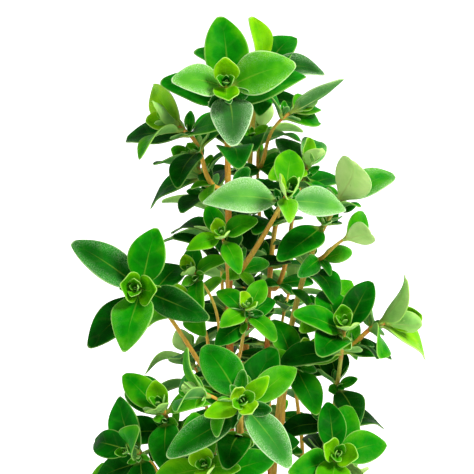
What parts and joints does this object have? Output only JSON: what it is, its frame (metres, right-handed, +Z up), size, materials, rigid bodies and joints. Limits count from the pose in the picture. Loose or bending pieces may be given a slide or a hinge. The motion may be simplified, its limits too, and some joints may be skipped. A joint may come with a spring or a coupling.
{
  "type": "potted thyme",
  "caption": "Young broad-leaved thyme plant with square leafy stems and side shoots, growing in soil in a plain round terracotta pot with a drain hole.",
  "frame": {"origin": "centre of the pot's foot, on the surface it stands on", "axes": "+Z up along the pot's axis and the stems; the plant's front is towards -Y; +X is to the right seen from the front"},
  "size_m": [0.0958, 0.0958, 0.2095],
  "materials": {
    "terracotta": "unglazed fired clay, matte",
    "soil": "crumbly potting soil",
    "thyme": "living leaves and green to orange-brown stems, softly glossy with fine hairs"
  },
  "bodies": {
    "root": {"pot": "terracotta", "shoot_back_foot": "thyme", "shoot_back_high": "thyme", "shoot_back_left_low": "thyme", "shoot_back_low": "thyme", "shoot_back_mid": "thyme", "shoot_back_right_mid": "thyme", "shoot_behind_left": "thyme", "shoot_centre_rosette": "thyme", "shoot_front_low": "thyme", "shoot_front_small": "thyme", "shoot_heart": "thyme", "shoot_heart_high": "thyme", "shoot_left_rosette": "thyme", "shoot_left_small": "thyme", "shoot_low_left": "thyme", "shoot_low_right": "thyme", "shoot_mid_right": "thyme", "shoot_right_bud": "thyme", "shoot_right_inner": "thyme", "shoot_right_wing": "thyme", "shoot_top_right": "thyme", "shoot_upper_left": "thyme", "shoot_upper_right": "thyme", "skirt_back": "thyme", "skirt_back_left": "thyme", "skirt_back_right": "thyme", "skirt_front": "thyme", "skirt_front_left": "thyme", "skirt_front_right": "thyme", "skirt_left": "thyme", "skirt_right": "thyme", "soil": "soil", "stem_back": "thyme", "stem_back_left": "thyme", "stem_back_right": "thyme", "stem_far_right": "thyme", "stem_front": "thyme", "stem_left": "thyme", "stem_right": "thyme", "stem_top": "thyme"}
  },
  "joints": []
}
